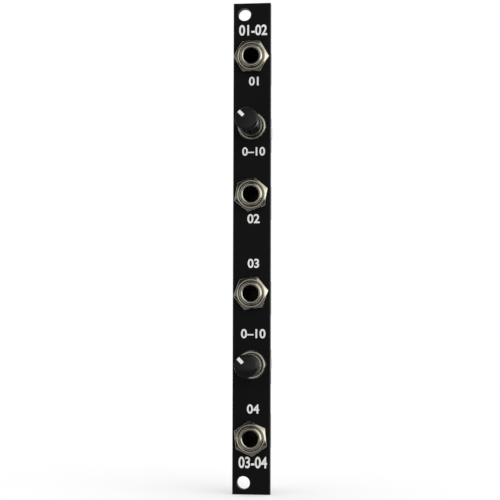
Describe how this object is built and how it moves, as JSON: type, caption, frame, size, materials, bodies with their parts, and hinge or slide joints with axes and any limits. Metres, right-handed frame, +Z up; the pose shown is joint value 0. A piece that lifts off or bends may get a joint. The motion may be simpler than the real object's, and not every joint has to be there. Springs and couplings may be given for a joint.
{
  "type": "eurorack module",
  "caption": "Narrow rack module: black panel with plug sockets, slim level knobs and a circuit board behind it.",
  "frame": {"origin": "midway between the two rail screw holes, on the back face of the front panel", "axes": "+Z up the panel, +X to the right seen from the front, +Y into the rack, so the front faces -Y"},
  "size_m": [0.0098, 0.0269, 0.1284],
  "materials": {
    "panel_black": "matt black anodised",
    "nickel": "nickel plated, bright",
    "black_moulding": "black moulded plastic",
    "knob_plastic": "satin black plastic",
    "pointer_white": "white inlay",
    "rotor_plastic": "natural moulded plastic",
    "tinned_contact": "tin plated brass",
    "spring_brass": "spring sheet",
    "zinc_frame": "zinc plated sheet",
    "resistive_wafer": "brown laminate",
    "board_laminate": "black solder mask",
    "solder": "bright solder"
  },
  "bodies": {
    "module": {"front_panel": "panel_black", "circuit_board": "board_laminate", "solder_joints": "solder", "socket_nuts": "nickel", "upper_in_bushing": "nickel", "upper_in_housing": "black_moulding", "upper_in_ground_terminal": "tinned_contact", "upper_in_tip_terminal": "tinned_contact", "upper_in_switch_contact": "tinned_contact", "upper_out_bushing": "nickel", "upper_out_housing": "black_moulding", "upper_out_ground_terminal": "tinned_contact", "upper_out_tip_terminal": "tinned_contact", "upper_out_switch_contact": "tinned_contact", "lower_in_bushing": "nickel", "lower_in_housing": "black_moulding", "lower_in_ground_terminal": "tinned_contact", "lower_in_tip_terminal": "tinned_contact", "lower_in_switch_contact": "tinned_contact", "lower_out_bushing": "nickel", "lower_out_housing": "black_moulding", "lower_out_ground_terminal": "tinned_contact", "lower_out_tip_terminal": "tinned_contact", "lower_out_switch_contact": "tinned_contact", "upper_control_bushing": "nickel", "upper_control_frame": "zinc_frame", "upper_control_housing": "black_moulding", "upper_control_wafer": "resistive_wafer", "upper_control_terminals": "tinned_contact", "lower_control_bushing": "nickel", "lower_control_frame": "zinc_frame", "lower_control_housing": "black_moulding", "lower_control_wafer": "resistive_wafer", "lower_control_terminals": "tinned_contact"},
    "upper_in_leaf": {"upper_in_tip_spring": "spring_brass"},
    "upper_out_leaf": {"upper_out_tip_spring": "spring_brass"},
    "lower_in_leaf": {"lower_in_tip_spring": "spring_brass"},
    "lower_out_leaf": {"lower_out_tip_spring": "spring_brass"},
    "upper_level": {"upper_knob": "knob_plastic", "upper_knob_pointer": "pointer_white", "upper_rotor": "rotor_plastic", "upper_wiper": "spring_brass"},
    "lower_level": {"lower_knob": "knob_plastic", "lower_knob_pointer": "pointer_white", "lower_rotor": "rotor_plastic", "lower_wiper": "spring_brass"}
  },
  "joints": [
    {"name": "upper_in_leaf_flex", "type": "hinge", "parent": "module", "child": "upper_in_leaf", "pos_m": [0.002, 0.0023, 0.04439], "axis": [-1, 0, 0], "range_deg": [0, 7], "stiffness_Nm_per_rad": 0.08, "springref_deg": -1.72},
    {"name": "upper_out_leaf_flex", "type": "hinge", "parent": "module", "child": "upper_out_leaf", "pos_m": [0.002, 0.0023, 0.00796], "axis": [-1, 0, 0], "range_deg": [0, 7], "stiffness_Nm_per_rad": 0.08, "springref_deg": -1.72},
    {"name": "lower_in_leaf_flex", "type": "hinge", "parent": "module", "child": "lower_in_leaf", "pos_m": [0.002, 0.0023, -0.0178], "axis": [-1, 0, 0], "range_deg": [0, 7], "stiffness_Nm_per_rad": 0.08, "springref_deg": -1.72},
    {"name": "lower_out_leaf_flex", "type": "hinge", "parent": "module", "child": "lower_out_leaf", "pos_m": [0.002, 0.0023, -0.04439], "axis": [1, 0, 0], "range_deg": [0, 7], "stiffness_Nm_per_rad": 0.08, "springref_deg": -1.72},
    {"name": "upper_level_turn", "type": "hinge", "parent": "module", "child": "upper_level", "pos_m": [0.002, -0.008, 0.03148], "axis": [0, 1, 0], "range_deg": [-105, 195]},
    {"name": "lower_level_turn", "type": "hinge", "parent": "module", "child": "lower_level", "pos_m": [0.002, -0.008, -0.0309], "axis": [0, 1, 0], "range_deg": [-105, 195]}
  ]
}
